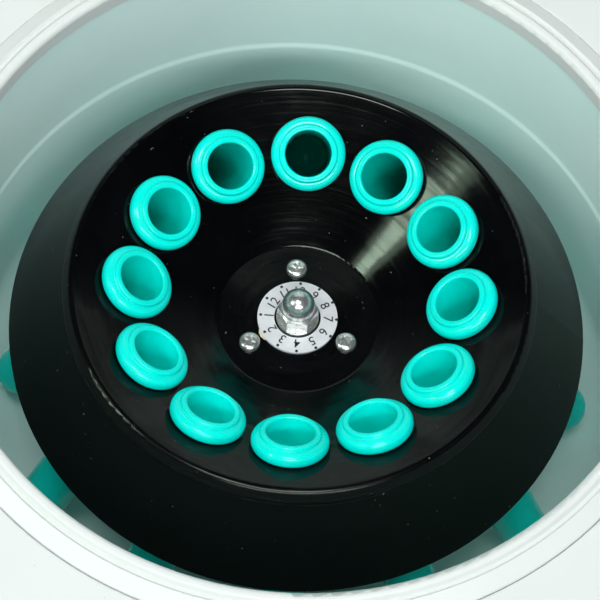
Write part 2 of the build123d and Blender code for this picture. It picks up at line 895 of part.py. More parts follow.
def make_sleeve_support_ring():
    """The lower disc that steadies the sleeves, clamped under the hub's flange."""
    bottom = hub_flange_bottom_z - support_ring_thickness
    disc = ring(support_ring_r, hub_neck_r + support_ring_fit, bottom, support_ring_thickness)
    for x, y in hub_screw_places():
        disc -= upright(x, y, screw_r + screw_fit, bottom - spare, hub_flange_bottom_z + spare)
    for k in range(sleeve_count):
        disc -= sleeve_plane(k)*Pos(0, 0, -sleeve_length/2)*Cylinder(sleeve_hole_r, sleeve_length/2)
    return disc


def make_number_plate():
    return ring(plate_r, plate_hole_r, dish_floor_z, plate_thickness)


def make_hub_washer():
    return ring(washer_r, thread_r + thread_clearance, dish_floor_z, washer_thickness)


def make_dome_nut():
    """A domed cap nut: a hexagon, a short neck and a round head over a blind thread."""
    hexagon = RegularPolygon(nut_across_flats/2, 6, major_radius=False)
    body = Pos(0, 0, nut_bottom_z)*extrude(hexagon, nut_hex_height)
    chamfer_r = nut_across_flats/sqrt(3)
    cone = turned([
        (0, nut_bottom_z - spare),
        (chamfer_r + nut_chamfer_in, nut_bottom_z - spare),
        (chamfer_r + nut_chamfer_in, nut_bottom_z + nut_hex_height - nut_chamfer),
        (nut_across_flats/2 - nut_chamfer_in, nut_bottom_z + nut_hex_height),
        (0, nut_bottom_z + nut_hex_height),
    ])
    body &= cone
    centre_z = nut_bottom_z + nut_height - nut_dome_r
    body += upright(0, 0, nut_dome_r, nut_bottom_z + spare, centre_z)
    body += Pos(0, 0, centre_z)*Sphere(nut_dome_r)
    thread_top_z = shaft_top_z + nut_blind_room
    return body - upright(0, 0, thread_r + thread_clearance, nut_bottom_z - spare, thread_top_z)


def make_hub_screws():
    """Pan-head screws that clamp the dish, the hub and the lower disc together."""
    tip_z = hub_flange_bottom_z - support_ring_thickness - screw_tip
    screws = []
    head = outline(
        [(0, 0), (screw_head_r, 0), (screw_head_r, screw_head_height), (0, screw_head_height)],
        [((screw_head_r, screw_head_height), screw_head_round)])
    head = revolve(head, Axis.Z)
    for x, y in hub_screw_places():
        screws.append(Pos(x, y, dish_floor_z)*head + upright(x, y, screw_r, tip_z, dish_floor_z + spare))
    return one_of(screws)


def make_tube_sleeve():
    """A sleeve standing on its seat plane: round-bottomed tube, rounded flange, raised collar."""
    centre_z = sleeve_outer_r - sleeve_length
    collar_top = sleeve_flange_height + sleeve_collar_height
    o = sleeve_outer_r
    b = sleeve_bore_r
    h = sqrt(0.5)
    walls = Polyline(
        (o, 0, centre_z),
        (o, 0, 0),
        (sleeve_flange_r, 0, 0),
        (sleeve_flange_r, 0, sleeve_flange_height),
        (sleeve_collar_r, 0, sleeve_flange_height),
        (sleeve_collar_r, 0, collar_top),
        (b, 0, collar_top),
        (b, 0, centre_z))
    inside = ThreePointArc((b, 0, centre_z), (b*h, 0, centre_z - b*h), (0, 0, centre_z - b))
    tip = Line((0, 0, centre_z - b), (0, 0, centre_z - o))
    outside = ThreePointArc((0, 0, centre_z - o), (o*h, 0, centre_z - o*h), (o, 0, centre_z))
    face = make_face(walls + inside + tip + outside)
    rounded = [
        ((sleeve_flange_r, 0), sleeve_flange_round),
        ((sleeve_flange_r, sleeve_flange_height), sleeve_flange_round),
        ((sleeve_collar_r, sleeve_flange_height), sleeve_collar_fillet),
        ((sleeve_collar_r, collar_top), sleeve_lip_round),
        ((b, collar_top), sleeve_lip_round),
    ]
    for (r, z), radius in rounded:
        face = fillet(face.vertices().sort_by_distance((r, 0, z))[0], radius)
    return revolve(face, Axis.Z)


# Lid, made closed and then turned open about the hinge

def opened(shape):
    return shape.rotate(hinge_axis, lid_open_angle)


def lid_top_profile(inset):
    """The lid's outside or inside, as a body of revolution with a low crown."""
    bottom = lid_bottom_z - spare if inset else lid_bottom_z
    side = lid_side_top_z - inset
    crown = side + lid_crown
    r = lid_r - inset
    shoulder_r = lid_r - lid_shoulder_in
    corner_z = side - lid_shoulder_drop
    shoulder_z = side + lid_shoulder_rise
    walls = Polyline(
        (0, 0, crown), (0, 0, bottom), (r, 0, bottom), (r, 0, corner_z), (shoulder_r, 0, shoulder_z))
    mid_z = shoulder_z + (lid_crown - lid_shoulder_rise)*lid_crown_fullness
    crown_line = ThreePointArc((shoulder_r, 0, shoulder_z), (shoulder_r/2, 0, mid_z), (0, 0, crown))
    face = make_face(walls + crown_line)
    corner = face.vertices().sort_by_distance((r, 0, corner_z))[0]
    face = fillet(corner, lid_edge_r - inset)
    return revolve(face, Axis.Z)


def make_lid_shell():
    shell = lid_top_profile(0) - lid_top_profile(lid_wall)
    top = lid_side_top_z + lid_crown + spare
    well_r = lid_window_r + lid_window_lap + lid_well_wall
    well_z = lid_side_top_z - lid_well_depth
    shell += ring(well_r, 0, well_z, top - well_z) & lid_top_profile(0)
    shell -= ring(lid_window_r, 0, lid_bottom_z, top - lid_bottom_z)
    window_top = lid_side_top_z + lid_window_seat
    shell -= ring(lid_window_r + lid_window_lap + display_fit, 0, lid_bottom_z, window_top - lid_bottom_z)
    middle = ring(lid_r - lid_wall/2, 0, lid_bottom_z - spare, 2*lid_side_height)
    grip = RectangleRounded(grip_width, 2*grip_reach, grip_corner_r)
    grip = Pos(0, -lid_r, lid_bottom_z)*extrude(grip, grip_height)
    shell += fillet(grip.edges().group_by(Axis.Z)[-1], grip_edge_r) - middle
    shell -= Pos(0, hook_y, lid_bottom_z)*Box(
        hook_foot_width + 2*screw_clearance, hook_foot_depth + 2*screw_clearance, 2*hook_foot_thickness)
    arm_end = lid_r - hinge_arm_root
    arm_length = hinge_y - arm_end
    arm_z = lid_bottom_z + hinge_arm_rise
    arm_height = hinge_z + hinge_lug_r - arm_z
    for x in (-hinge_lug_x, hinge_lug_x):
        lug = Pos(x, hinge_y, hinge_z)*Rot(0, 90, 0)*Cylinder(hinge_lug_r, hinge_lug_width)
        arm = Box(hinge_lug_width, arm_length, arm_height)
        arm = Pos(x, (hinge_y + arm_end)/2, arm_z + arm_height/2)*arm
        heel = Box(hinge_lug_width + 2*spare, 2*hinge_lug_r, 2*(hinge_height - hinge_lug_r))
        heel = Pos(x, hinge_y, hinge_z - hinge_height)*heel
        shell += (arm - middle - heel) + lug
    pin_hole = Pos(0, hinge_y, hinge_z)*Rot(0, 90, 0)*Cylinder(hinge_pin_r + hinge_running_gap, through)
    return shell - pin_hole


def make_lid_liner():
    """The grey inner panel that carries the gasket and closes the lid's underside."""
    low = lid_liner_z
    high = low + lid_liner_rise
    w = lid_liner_wall
    outer = lid_r - lid_wall - lid_liner_outer_gap
    seat_r = gasket_r - gasket_half_width - lid_liner_seat_in
    window_edge = lid_window_r + lid_window_lap + lid_liner_window_gap
    points = [
        (outer, low + w),
        (outer, low),
        (seat_r, low),
        (lid_liner_inner_r, high),
        (window_edge, high),
        (window_edge, high + w),
        (lid_liner_inner_r + w, high + w),
        (seat_r + w, low + w),
    ]
    rounded = [((lid_liner_inner_r, high), lid_liner_round), ((seat_r, low), lid_liner_seat_round)]
    return turned(points, rounded)


def make_lid_gasket():
    top = lid_liner_z
    bottom = gasket_bottom_z
    half = gasket_half_width
    points = [
        (gasket_r - half, top),
        (gasket_r - half, bottom),
        (gasket_r + half, bottom),
        (gasket_r + half, top),
    ]
    rounded = [((gasket_r - half, bottom), gasket_edge_r), ((gasket_r + half, bottom), gasket_edge_r)]
    return turned(points, rounded)


def make_lid_window():
    top = lid_side_top_z + lid_window_seat
    return ring(lid_window_r + lid_window_lap, 0, top - lid_window_thickness, lid_window_thickness)


def make_lid_hook():
    """The striker plate below the lid's grip, with the window that the bolt enters."""
    top = lid_bottom_z + hook_foot_thickness
    plate = Pos(0, hook_y, (top + hook_tip_z)/2)*Box(hook_width, hook_thickness, top - hook_tip_z)
    plate = fillet(plate.edges().filter_by(Axis.Y).group_by(Axis.Z)[0], hook_tip_round)
    foot = Box(hook_foot_width, hook_foot_depth, hook_foot_thickness)
    foot = Pos(0, hook_y, top - hook_foot_thickness/2)*foot
    window = Pos(0, hook_y, hook_window_z)*Box(hook_window, through, hook_window)
    return plate + foot - window


def make_hinge_brackets():
    """Two brackets screwed to the cover, outside the lid's knuckles."""
    brackets = []
    offset = hinge_lug_x + hinge_lug_width/2 + bracket_gap + bracket_width/2
    for x in (-offset, offset):
        foot = Pos(x, hinge_y, cover_top_z + bracket_foot_thickness/2)*Box(
            bracket_width + 2*bracket_foot_side, bracket_length, bracket_foot_thickness)
        cheek = Pos(x, hinge_y, (cover_top_z + hinge_z)/2)*Box(bracket_width, 2*hinge_lug_r, hinge_height)
        eye = Pos(x, hinge_y, hinge_z)*Rot(0, 90, 0)*Cylinder(hinge_lug_r, bracket_width)
        pin_hole = Pos(x, hinge_y, hinge_z)*Rot(0, 90, 0)*Cylinder(hinge_pin_r + shaft_fit, through)
        brackets.append(foot + cheek + eye - pin_hole)
    return one_of(brackets)


def make_hinge_pin():
    half = hinge_lug_x + hinge_lug_width/2 + bracket_gap + bracket_width + hinge_pin_overhang
    return Pos(0, hinge_y, hinge_z)*Rot(0, 90, 0)*Cylinder(hinge_pin_r, 2*half)


# Lock

def lock_front_y():
    return hook_y - hook_thickness/2 - lock_gap


def make_lock_body():
    """The lock's case, hung from the cover by a plate, with the bolt's channel through it."""
    back = lock_front_y()
    case = Pos(0, back - lock_depth/2, hook_window_z)*Box(lock_width, lock_depth, lock_height)
    plate_h = cover_top_z - housing_wall - lock_pad - face_gap - hook_window_z
    plate = Box(lock_width + 2*lock_plate_side, lock_plate_thickness, plate_h)
    plate = Pos(0, back - lock_plate_thickness/2, hook_window_z + plate_h/2)*plate
    channel = Box(bolt_width + 2*bolt_clearance, through, bolt_height + 2*bolt_clearance)
    return case + plate - Pos(0, back, hook_window_z)*channel


def make_lock_bolt():
    nose = lock_front_y() + bolt_rest_proud
    length = bolt_hold + bolt_travel + bolt_rest_proud
    bolt = Pos(0, nose - length/2, hook_window_z)*Box(bolt_width, length, bolt_height)
    return fillet(bolt.edges().filter_by(Axis.X).group_by(Axis.Y)[-1], bolt_nose_r)


# Control panel and what is behind it

def on_panel(x, v, w=0.0):
    """A place on the control panel: across, up the slope and out of it."""
    return panel_plane*Pos(x, v, w)


def button_places():
    return [(-button_pitch, button_v), (0, button_v), (button_pitch, button_v)]


def make_control_panel():
    face = RectangleRounded(panel_width, panel_height, panel_corner_r)
    plate = Pos(0, panel_centre_v, 0)*extrude(face, panel_thickness)
    plate = fillet(plate.edges().group_by(Axis.Z)[-1], panel_edge_r)
    window = Pos(0, display_v, 0)
    seat_z = panel_thickness - display_thickness
    plate -= window*Box(display_width - 2*display_lip, display_height - 2*display_lip, through)
    plate -= window*Pos(0, 0, seat_z + display_thickness)*Box(
        display_width + 2*display_fit, display_height + 2*display_fit, 2*display_thickness)
    for x in (-knob_x, knob_x):
        plate -= Pos(x, knob_v, 0)*Cylinder(knob_shaft_r + face_gap, through)
    hole = RectangleRounded(button_width + 2*face_gap, button_depth + 2*face_gap, button_corner_r)
    for x, v in button_places():
        plate -= Pos(x, v, -spare)*extrude(hole, panel_thickness + 2*spare)
    for x in (-board_width/2 + standoff_inset, board_width/2 - standoff_inset):
        for v in (-board_height/2 + standoff_inset, board_height/2 - standoff_inset):
            plate += Pos(x, panel_cutout_v + v, -board_depth/2)*Cylinder(standoff_r, board_depth)
    return on_panel(0, 0)*plate


def make_display_window():
    glass = Box(display_width, display_height, display_thickness)
    return on_panel(0, display_v, panel_thickness - display_thickness/2)*glass


def make_display_module():
    width = display_width - 2*display_lip - module_margin
    height = display_height - 2*display_lip - module_margin
    depth = board_depth - module_gap
    return on_panel(0, display_v, -board_depth + depth/2)*Box(width, height, depth)


def make_circuit_board():
    board = Box(board_width, board_height, board_thickness)
    for x in (-knob_x, knob_x):
        board -= Pos(x, knob_v - panel_cutout_v, 0)*Cylinder(knob_shaft_r + board_hole_clearance, through)
    return on_panel(0, panel_cutout_v, -board_depth - board_thickness/2)*board


def make_knob_encoders():
    body = Box(encoder_size, encoder_size, encoder_height)
    body -= Cylinder(knob_shaft_r + bearing_running_gap, through)
    places = [on_panel(x, knob_v, -board_depth + encoder_height/2) for x in (-knob_x, knob_x)]
    return one_of([place*body for place in places])


def make_button_switches():
    body = Box(switch_size, switch_size, switch_height)
    places = [on_panel(x, v, -board_depth + switch_height/2) for x, v in button_places()]
    return one_of([place*body for place in places])


def make_knob(x):
    """A fluted knob on its spindle."""
    cap = Pos(0, 0, knob_height/2)*Cylinder(knob_r, knob_height)
    cap = fillet(cap.edges().group_by(Axis.Z)[-1], knob_edge_r)
    for fx, fy in around(knob_flute_count, knob_r + knob_flute_out):
        cap -= Pos(fx, fy, knob_skirt_height + knob_height/2)*Cylinder(knob_flute_r, knob_height)
    cap += Pos(0, 0, knob_skirt_height/2)*Cylinder(knob_skirt_r, knob_skirt_height)
    depth = board_depth + panel_thickness + knob_lift
    cap += Pos(0, 0, (spare - depth)/2)*Cylinder(knob_shaft_r, depth + spare)
    return on_panel(x, knob_v, panel_thickness + knob_lift)*cap


def make_button(index):
    """A push button with a flange behind the panel and a stem to its switch."""
    x, v = button_places()[index]
    top = RectangleRounded(button_width, button_depth, button_corner_r - face_gap)
    cap = Pos(0, 0, -face_gap)*extrude(top, panel_thickness + button_proud)
    cap = fillet(cap.edges().group_by(Axis.Z)[-1], button_edge_r)
    flange = RectangleRounded(
        button_width + 2*button_flange, button_depth + 2*button_flange, button_corner_r)
    cap += Pos(0, 0, -face_gap - button_flange_thickness)*extrude(flange, button_flange_thickness)
    stem_end = -board_depth + switch_height + button_travel + face_gap
    stem_top = -face_gap - button_flange_thickness/2
    cap += Pos(0, 0, (stem_end + stem_top)/2)*Cylinder(button_stem_r, stem_top - stem_end)
    return on_panel(x, v)*cap


def make_power_rocker():
    """A rocker that lies tilted in its bezel, pivoting about a level axis."""
    rocker = Box(rocker_width, rocker_depth, rocker_height)
    y = back_wall_y(inlet_z) - rocker_depth/2 + rocker_bezel
    return Pos(rocker_x, y, inlet_z)*Rot(rocker_tilt, 0, 0)*rocker


def make_rocker_bezel():
    """The rocker switch's frame and body in the back wall."""
    y = back_wall_y(inlet_z)
    width = rocker_width + 2*rocker_bezel
    height = rocker_height + 2*rocker_bezel
    frame = Pos(0, rocker_bezel/2, 0)*Box(width + rocker_flange, rocker_bezel, height + rocker_flange)
    body = Box(width - rocker_bezel, rocker_body_depth, height - rocker_bezel)
    body = Pos(0, -rocker_body_depth/2, 0)*body
    hollow = Box(rocker_width + 2*face_gap, 2*rocker_hollow_depth, rocker_height + 2*rocker_end_room)
    return Pos(rocker_x, y + wall_seat_gap, inlet_z)*Rot(-housing_draft, 0, 0)*(frame + body - hollow)


nodes = {
    "base_tray": make_base_tray,
    "top_cover": make_top_cover,
    "rim_ring": make_rim_ring,
    "bowl_liner": make_bowl_liner,
    "guard_ring": make_guard_ring,
    "motor_plate": make_motor_plate,
    "damper_mounts": make_damper_mounts,
    "motor_can": make_motor_can,
    "motor_end_cap": make_motor_end_cap,
    "stator_core": make_stator_core,
    "motor_bearings": make_motor_bearings,
    "shaft_seal": make_shaft_seal,
    "control_panel": make_control_panel,
    "display_window": make_display_window,
    "display_module": make_display_module,
    "circuit_board": make_circuit_board,
    "knob_encoders": make_knob_encoders,
    "button_switches": make_button_switches,
    "power_inlet": make_power_inlet,
    "rocker_bezel": make_rocker_bezel,
    "rear_vent": make_rear_vent,
    "hinge_brackets": make_hinge_brackets,
    "hinge_pin": make_hinge_pin,
    "rubber_feet": make_rubber_feet,
    "cover_screws": make_cover_screws,
    "lock_body": make_lock_body,
    "motor_shaft": make_motor_shaft,
    "motor_armature": make_motor_armature,
    "rotor_hub": make_rotor_hub,
    "rotor_dish": make_rotor_dish,
    "rotor_skirt": make_rotor_skirt,
    "sleeve_support_ring": make_sleeve_support_ring,
    "number_plate": make_number_plate,
    "hub_screws": make_hub_screws,
    "hub_washer": make_hub_washer,
    "dome_nut": make_dome_nut,
    "speed_knob": lambda: make_knob(-knob_x),
    "time_knob": lambda: make_knob(knob_x),
    "start_button": lambda: make_button(0),
    "stop_button": lambda: make_button(1),
    "lid_button": lambda: make_button(2),
    "power_rocker": make_power_rocker,
    "lock_bolt": make_lock_bolt,
}
lid_nodes = {
    "lid_shell": make_lid_shell,
    "lid_liner": make_lid_liner,
    "lid_window": make_lid_window,
    "lid_gasket": make_lid_gasket,
    "lid_hook": make_lid_hook,
}

os.makedirs("parts", exist_ok=True)
for name, make in nodes.items():
    export_step(make(), "parts/" + name + ".step")
for name, make in lid_nodes.items():
    export_step(opened(make()), "parts/" + name + ".step")
sleeve = make_tube_sleeve()
for k in range(sleeve_count):
    export_step(sleeve_plane(k)*sleeve, "parts/tube_sleeve_%02d.step" % (k + 1))
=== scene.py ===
import bmesh, bpy
from math import cos, pi, radians, sin
from mathutils import Matrix, Vector


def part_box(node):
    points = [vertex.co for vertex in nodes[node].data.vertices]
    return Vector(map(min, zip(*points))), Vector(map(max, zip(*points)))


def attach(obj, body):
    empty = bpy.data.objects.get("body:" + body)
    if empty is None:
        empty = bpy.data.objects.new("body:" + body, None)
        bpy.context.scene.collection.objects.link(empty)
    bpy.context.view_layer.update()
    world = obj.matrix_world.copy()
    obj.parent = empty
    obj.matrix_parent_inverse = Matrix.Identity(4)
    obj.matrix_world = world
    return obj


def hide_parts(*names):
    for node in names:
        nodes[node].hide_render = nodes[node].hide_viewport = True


# Looks of the benchtop centrifuge: finishes, the number plate's figures, the screws' cross
# recesses, the panel's scales, the studio and the camera. Metres, in the CAD model's frame.

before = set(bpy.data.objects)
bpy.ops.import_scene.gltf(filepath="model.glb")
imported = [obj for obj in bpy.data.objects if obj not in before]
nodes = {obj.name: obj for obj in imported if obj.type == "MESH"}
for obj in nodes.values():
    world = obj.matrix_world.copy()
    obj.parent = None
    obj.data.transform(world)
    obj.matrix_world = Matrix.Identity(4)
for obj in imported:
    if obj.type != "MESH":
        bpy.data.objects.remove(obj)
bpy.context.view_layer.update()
MM = 0.001


# Node helpers

def node(tree, kind, inputs=None, **settings):
    """Adds a node. An input is a value, another node's output, or a list of outputs."""
    made = tree.nodes.new(kind)
    for name, value in settings.items():
        setattr(made, name, value)
    for socket, value in (inputs or {}).items():
        if isinstance(value, bpy.types.NodeSocket):
            tree.links.new(value, made.inputs[socket])
        elif isinstance(value, list):
            for each in value:
                tree.links.new(each, made.inputs[socket])
        else:
            made.inputs[socket].default_value = value
    return made


def maths(tree, operation, a, b=0.0):
    return node(tree, "ShaderNodeMath", {0: a, 1: b}, operation=operation).outputs[0]


def times(tree, a, b):
    return maths(tree, "MULTIPLY", a, b)


def vector(tree, x, y, z):
    return node(tree, "ShaderNodeCombineXYZ", {0: x, 1: y, 2: z}).outputs[0]


def spread(tree, value, low, high, to_low=0.0, to_high=1.0):
    """Maps a value between two limits on to two others, and holds it there."""
    inputs = {"Value": value, "From Min": low, "From Max": high,
              "To Min": to_low, "To Max": to_high}
    return node(tree, "ShaderNodeMapRange", inputs, clamp=True).outputs[0]


def noise(tree, coords, size, detail=3.0, rough=0.5):
    """Noise whose features are about size across, in the units of its coordinates."""
    inputs = {"Vector": coords, "Scale": 1.0/size, "Detail": detail, "Roughness": rough}
    return node(tree, "ShaderNodeTexNoise", inputs).outputs["Fac"]


def stretched(tree, coords, scale):
    return node(tree, "ShaderNodeMapping", {"Vector": coords, "Scale": scale}).outputs[0]


def mixed(tree, factor, a, b):
    """Mixes two colours, each a plain colour or an output."""
    inputs = {0: factor, 6: a, 7: b}
    return node(tree, "ShaderNodeMix", inputs, data_type="RGBA").outputs[2]


def rgb(red, green, blue):
    """A colour as a screen shows it, 0 to 255, made linear."""
    def linear(v):
        v /= 255.0
        return v/12.92 if v <= 0.04045 else ((v + 0.055)/1.055)**2.4
    return (linear(red), linear(green), linear(blue), 1.0)


def round_the_axis(tree, coords):
    """Distance from the rotor's axis, the angle round it, and the height."""
    x, y, height = node(tree, "ShaderNodeSeparateXYZ", {0: coords}).outputs
    squares = maths(tree, "ADD", times(tree, x, x), times(tree, y, y))
    return maths(tree, "SQRT", squares), maths(tree, "ARCTAN2", y, x), height


def ringed(tree, coords, rings, turns, detail=3.0, rough=0.5):
    """Noise drawn out into rings about the rotor's axis. It has so many rings to a metre, outwards
    and upwards, and so many changes to a radian round it."""
    distance, angle, height = round_the_axis(tree, coords)
    place = vector(tree, times(tree, distance, rings), times(tree, angle, turns),
                   times(tree, height, rings))
    return noise(tree, place, 1.0, detail, rough)


def bumped(tree, height, depth, before=None):
    """A bump of a real depth in metres, over one made before."""
    inputs = {"Height": height, "Distance": depth, "Strength": 1.0}
    if before is not None:
        inputs["Normal"] = before
    return node(tree, "ShaderNodeBump", inputs).outputs[0]


def into(tree, shader, socket, value):
    tree.links.new(value, shader.inputs[socket])


def feeding(shader, socket):
    """The output that now feeds a socket."""
    return shader.inputs[socket].links[0].from_socket


def duller(tree, shader, amount):
    """Adds to the roughness that a shader has so far."""
    into(tree, shader, "Roughness", maths(tree, "ADD", feeding(shader, "Roughness"), amount))


# Finishes, by name. A CAD node takes the one that its material slot names.

finishes = {}


def finish(name, colour, second, gloss, patch=0.05, grain=0.0008, depth=0.00001, dust=0.0,
           dust_colour=rgb(190, 195, 190), **sockets):
    """A finish with patches of a second colour, a roughness that varies between the two limits
    of gloss, a fine grain and specks of dust. Any other socket of the shader can be given by name.

    It returns the tree, its shader and the coordinates, so that more can be added."""
    material = bpy.data.materials.new(name)
    material.use_nodes = True
    tree = material.node_tree
    shader = tree.nodes["Principled BSDF"]
    coords = node(tree, "ShaderNodeTexCoord").outputs["Object"]
    patches = noise(tree, coords, patch, detail=4.0, rough=0.6)
    base = mixed(tree, spread(tree, patches, 0.35, 0.65), colour, second)
    smear_size, smear_stretch = patch*0.35, (1.0, 2.3, 1.4)
    smears = noise(tree, stretched(tree, coords, smear_stretch), smear_size, detail=5.0, rough=0.65)
    roughness = spread(tree, smears, 0.3, 0.7, *gloss)
    if dust:
        speck_size, speck_roughness = 0.0011, 0.4
        specks = noise(tree, coords, speck_size, detail=1.0, rough=0.4)
        specks = spread(tree, specks, 0.80 - dust, 0.84 - dust)
        base = mixed(tree, specks, base, dust_colour)
        roughness = maths(tree, "ADD", roughness, times(tree, specks, speck_roughness))
    into(tree, shader, "Base Color", base)
    into(tree, shader, "Roughness", roughness)
    if depth:
        fine = noise(tree, coords, grain, rough=0.6)
        into(tree, shader, "Normal", bumped(tree, fine, depth))
    for socket, value in sockets.items():
        shader.inputs[socket.replace("_", " ")].default_value = value
    finishes[name] = material
    return tree, shader, coords


# Injection-moulded cover, rim and lid: near white, a spark-eroded grain, faint handling marks
finish("white_moulding", rgb(212, 217, 215), rgb(208, 214, 211), (0.32, 0.46), patch=0.09,
       grain=0.0006, depth=0.000006, dust=0.02, dust_colour=rgb(192, 195, 190),
       Specular_IOR_Level=0.36)

# Other mouldings: the base, panel, lid liner, vent, sockets, rocker, knobs and buttons
finish("base_grey", rgb(128, 132, 134), rgb(118, 122, 125), (0.42, 0.6), patch=0.07,
       grain=0.0007, depth=0.00002, dust=0.04)
finish("panel_grey", rgb(96, 102, 106), rgb(88, 94, 98), (0.35, 0.5), patch=0.04, grain=0.0005)
finish("lid_grey", rgb(186, 194, 192), rgb(176, 186, 184), (0.34, 0.5), patch=0.06)
finish("vent_grey", rgb(112, 116, 118), rgb(98, 102, 104), (0.45, 0.6), patch=0.03,
       grain=0.0006, depth=0.00002, dust=0.07)
finish("dark_moulding", rgb(34, 35, 37), rgb(26, 27, 29), (0.4, 0.58), patch=0.02,
       grain=0.0005, dust=0.03)
finish("rocker_black", rgb(24, 24, 26), rgb(16, 16, 18), (0.22, 0.36), patch=0.012,
       grain=0.0005, depth=0.000006)
finish("knob_grey", rgb(58, 61, 64), rgb(50, 53, 56), (0.34, 0.5), patch=0.015, grain=0.0004)
for name, colour, second in (
        ("button_green", rgb(64, 158, 96), rgb(56, 146, 88)),
        ("button_red", rgb(196, 62, 54), rgb(180, 54, 48)),
        ("button_blue", rgb(64, 118, 178), rgb(56, 106, 164))):
    finish(name, colour, second, (0.28, 0.42), patch=0.01, grain=0.0005, depth=0.000006)

# Rubber: dull, with lint on it
finish("black_rubber", rgb(30, 30, 31), rgb(42, 42, 42), (0.6, 0.82), patch=0.012,
       grain=0.0005, depth=0.00003, dust=0.06, dust_colour=rgb(120, 118, 112))
finish("gasket_rubber", rgb(58, 60, 62), rgb(70, 72, 72), (0.55, 0.75), patch=0.02,
       grain=0.0006, depth=0.00002, dust=0.05)

# The circuit board and the duller metals
finish("board_green", rgb(24, 92, 58), rgb(18, 78, 48), (0.25, 0.45), patch=0.01,
       grain=0.0012, depth=0.00002)
finish("core_iron", rgb(86, 84, 82), rgb(66, 62, 58), (0.42, 0.62), patch=0.01,
       grain=0.0005, depth=0.00002, Metallic=1.0)
finish("cast_alloy", rgb(178, 180, 182), rgb(158, 160, 162), (0.36, 0.56), patch=0.015,
       grain=0.0009, depth=0.00004, Metallic=1.0)
finish("plain_steel", rgb(176, 178, 178), rgb(150, 152, 152), (0.3, 0.5), patch=0.02,
       grain=0.0006, Metallic=1.0)

# Display, adhesive and inks
finish("display_smoke", rgb(20, 24, 26), rgb(14, 18, 20), (0.05, 0.12), patch=0.02, depth=0.0)
finish("adhesive_cream", rgb(214, 205, 176), rgb(188, 176, 140), (0.5, 0.7), patch=0.002,
       grain=0.0004, depth=0.00002)
finish("plate_ink", rgb(16, 16, 18), rgb(28, 28, 30), (0.45, 0.6), patch=0.0012,
       grain=0.0003, depth=0.000004)
finish("panel_ink", rgb(226, 230, 230), rgb(208, 212, 212), (0.45, 0.6), patch=0.002,
       grain=0.0003, depth=0.000004)

# Gloss polypropylene sleeves: nearly even colour, slightly cloudy
finish("teal_sleeve", rgb(0, 228, 217), rgb(0, 221, 208), (0.09, 0.2), patch=0.02,
       grain=0.0009, depth=0.000003, Specular_IOR_Level=0.35, Subsurface_Weight=0.12,
       Subsurface_Radius=(0.2, 1.0, 0.9), Subsurface_Scale=0.0015)

# Clear moulded window with a faint tint and smears
finish("clear_window", rgb(226, 236, 234), rgb(220, 232, 230), (0.03, 0.10), patch=0.03,
       grain=0.004, depth=0.000002, Transmission_Weight=1.0, IOR=1.49)


def bright_steel():
    """Bright-plated turned steel, with fine lathe rings and small dull spots."""
    tree, shader, coords = finish(
        "bright_steel", rgb(222, 226, 224), rgb(206, 212, 209), (0.21, 0.28), patch=0.006,
        grain=0.0007, depth=0.000001, Metallic=0.88)
    rings = ringed(tree, coords, rings=9000.0, turns=3.0, detail=2.0)
    ring_depth = 0.0000005
    into(tree, shader, "Normal", bumped(tree, rings, ring_depth, feeding(shader, "Normal")))


def rotor_gloss():
    """Black-lacquered spun dish: waves and turning marks round it, hairline scratches and fine
    dust. Its rolled edge is duller and has no waves."""
    tree, shader, coords = finish(
        "rotor_gloss", rgb(3, 3, 4), rgb(6, 7, 9), (0.08, 0.13), patch=0.03, depth=0.0,
        dust=0.02, dust_colour=rgb(90, 98, 96), Specular_IOR_Level=0.27,
        Specular_Tint=(0.86, 1.0, 0.88, 1.0), Anisotropic=0.4, Anisotropic_Rotation=0.25)
    scratches = ringed(tree, coords, rings=2600.0, turns=1.4, rough=0.7)
    hairs = spread(tree, scratches, 0.70, 0.80, to_high=0.16)
    worn = mixed(tree, hairs, feeding(shader, "Base Color"), rgb(60, 66, 68))
    into(tree, shader, "Base Color", worn)
    bands = ringed(tree, coords, rings=1000.0, turns=1.1, detail=4.0, rough=0.7)
    duller(tree, shader, spread(tree, bands, 0.50, 0.72, to_high=0.10))
    edge_from, edge_to, edge_roughness = 81.0*MM, 82.5*MM, 0.12
    distance = round_the_axis(tree, coords)[0]
    edge = spread(tree, distance, edge_from, edge_to)
    duller(tree, shader, times(tree, edge, edge_roughness))
    swell = ringed(tree, coords, rings=150.0, turns=0.7, detail=1.0)
    swell = times(tree, swell, maths(tree, "SUBTRACT", 1.0, edge))
    marks = ringed(tree, coords, rings=1300.0, turns=2.6, detail=2.0, rough=0.6)
    swell_depth, mark_depth = 0.00013, 0.000006
    waves = bumped(tree, swell, swell_depth)
    into(tree, shader, "Normal", bumped(tree, marks, mark_depth, waves))
    tangent = node(tree, "ShaderNodeTangent", direction_type="RADIAL", axis="Z").outputs[0]
    into(tree, shader, "Tangent", tangent)


def rotor_satin():
    """Black satin cone below the dish, a little bluish, with faint rings."""
    tree, shader, coords = finish(
        "rotor_satin", rgb(2, 3, 3), rgb(4, 5, 5), (0.17, 0.26), patch=0.04, grain=0.0006,
        depth=0.000001, dust=0.012, dust_colour=rgb(90, 98, 98), Specular_IOR_Level=0.22,
        Specular_Tint=(0.72, 1.0, 0.9, 1.0))
    rings = ringed(tree, coords, rings=1800.0, turns=0.8, rough=0.6)
    ring_depth = 0.000003
    into(tree, shader, "Normal", bumped(tree, rings, ring_depth, feeding(shader, "Normal")))


def bowl_grey():
    """The bowl's pale grey-green lining: smooth, half gloss, wiped in rings."""
    tree, shader, coords = finish(
        "bowl_grey", rgb(218, 245, 241), rgb(211, 240, 236), (0.36, 0.42), patch=0.08,
        grain=0.0012, depth=0.000004)
    wipes = ringed(tree, coords, rings=60.0, turns=2.2, detail=4.0, rough=0.6)
    duller(tree, shader, spread(tree, wipes, 0.3, 0.7, -0.01, 0.02))


